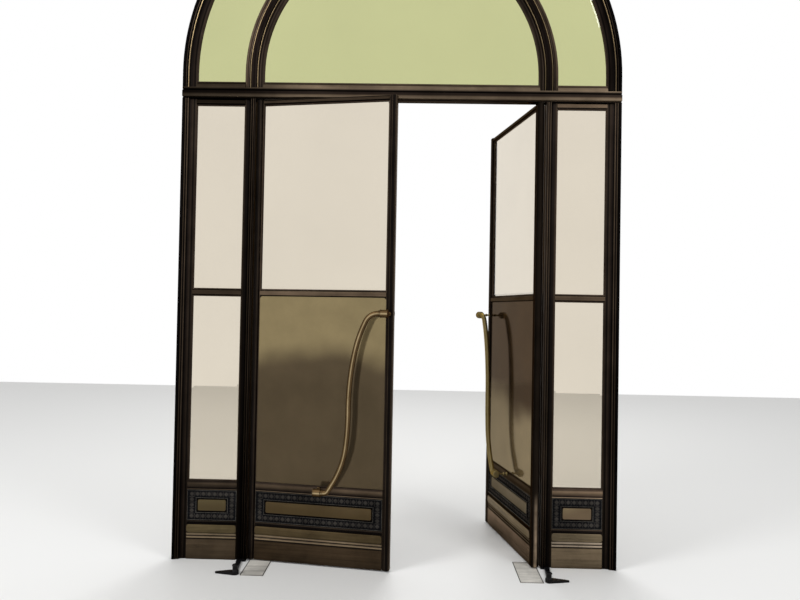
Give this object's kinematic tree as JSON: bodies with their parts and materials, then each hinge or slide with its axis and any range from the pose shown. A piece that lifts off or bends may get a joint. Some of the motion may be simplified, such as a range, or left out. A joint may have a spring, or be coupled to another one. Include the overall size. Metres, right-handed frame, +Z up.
{
  "type": "arched double swing door screen",
  "caption": "Tall arched bronze entrance screen: double-acting glazed swing leaves with long curved brass handles, fixed sidelights, moulded transom and semicircular fanlight.",
  "frame": {"origin": "centre of the left jamb's foot face, on the floor, as seen from the street", "axes": "+Z is up, +X runs along the screen to the right as seen from the street, +Y goes from the street through the screen"},
  "size_m": [2.75, 1.1116, 4.4298],
  "materials": {
    "bronze": "dark brown patinated bronze, satin, worn brighter on the edges",
    "dark_bronze": "near-black patinated bronze, satin",
    "ornament": "dark bronze with a low-relief geometric border",
    "gilt_brass": "gold-toned brass, brushed",
    "brass_plate": "polished olive-gold sheet with a slightly wavy reflection",
    "bright_brass": "polished by hands",
    "pivot_steel": "satin",
    "black_iron": "black enamel, semi-gloss",
    "door_glass": "clear plate glass with a bevelled edge, faint warm tint",
    "arch_glass": "clear plate glass, yellow-green tint"
  },
  "bodies": {
    "frame": {"left_jamb": "bronze", "right_jamb": "bronze", "left_mullion": "dark_bronze", "right_mullion": "dark_bronze", "transom": "bronze", "outer_arch": "bronze", "inner_arch": "bronze", "lunette_glass": "arch_glass", "ring_glass": "arch_glass", "floor_pivots": "pivot_steel", "foot_stops": "black_iron", "left_side_rails": "bronze", "left_side_glass": "door_glass", "left_side_apron": "dark_bronze", "left_side_ornament": "ornament", "left_side_centre": "gilt_brass", "left_side_kick": "brass_plate", "right_side_rails": "bronze", "right_side_glass": "door_glass", "right_side_apron": "dark_bronze", "right_side_ornament": "ornament", "right_side_centre": "gilt_brass", "right_side_kick": "brass_plate"},
    "left_leaf": {"left_leaf_hinge_stile": "bronze", "left_leaf_free_stile": "bronze", "left_leaf_rails": "bronze", "left_leaf_glass": "door_glass", "left_leaf_push_plate": "brass_plate", "left_leaf_apron": "dark_bronze", "left_leaf_ornament": "ornament", "left_leaf_centre": "gilt_brass", "left_leaf_kick": "brass_plate", "left_leaf_front_handle": "bright_brass", "left_leaf_back_handle": "bright_brass"},
    "right_leaf": {"right_leaf_hinge_stile": "bronze", "right_leaf_free_stile": "bronze", "right_leaf_rails": "bronze", "right_leaf_glass": "door_glass", "right_leaf_push_plate": "brass_plate", "right_leaf_apron": "dark_bronze", "right_leaf_ornament": "ornament", "right_leaf_centre": "gilt_brass", "right_leaf_kick": "brass_plate", "right_leaf_front_handle": "bright_brass", "right_leaf_back_handle": "bright_brass"}
  },
  "joints": [
    {"name": "left_leaf_swing", "type": "hinge", "parent": "frame", "child": "left_leaf", "pos_m": [0.4625, 0, 0], "axis": [0, 0, 1], "range_deg": [-81, 99]},
    {"name": "right_leaf_swing", "type": "hinge", "parent": "frame", "child": "right_leaf", "pos_m": [2.2025, 0, 0], "axis": [0, 0, 1], "range_deg": [-12, 168]}
  ]
}
